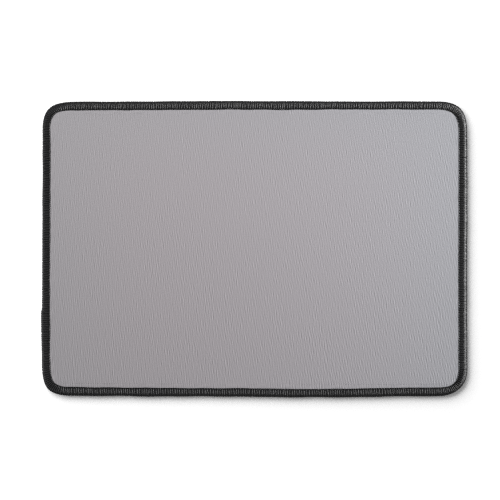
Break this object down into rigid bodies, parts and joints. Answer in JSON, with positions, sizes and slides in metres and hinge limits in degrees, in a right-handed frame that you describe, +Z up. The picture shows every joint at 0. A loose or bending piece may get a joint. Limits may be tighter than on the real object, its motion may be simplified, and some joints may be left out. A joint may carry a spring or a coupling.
{
  "type": "mouse pad",
  "caption": "Flat rectangular mouse pad with rounded corners: grey ribbed cloth bonded to a foam core and grip base, with a black overlock-stitched edge.",
  "frame": {"origin": "centre of the underside, on the table", "axes": "+X along the long side, to the right in the picture; +Y along the short side, towards the top of the picture; +Z up, out of the cloth"},
  "size_m": [0.2606, 0.18, 0.0033],
  "materials": {
    "grip_base": "matte embossed",
    "foam_core": "matte open cell",
    "laminating_film": "satin",
    "surface_cloth": "matte fine rib",
    "needle_thread": "soft lustre",
    "upper_looper_thread": "soft lustre",
    "lower_looper_thread": "soft lustre"
  },
  "bodies": {
    "root": {"grip_base": "grip_base", "foam_core": "foam_core", "laminating_film": "laminating_film", "surface_cloth": "surface_cloth", "needle_thread": "needle_thread", "upper_looper_thread": "upper_looper_thread", "lower_looper_thread": "lower_looper_thread"}
  },
  "joints": []
}
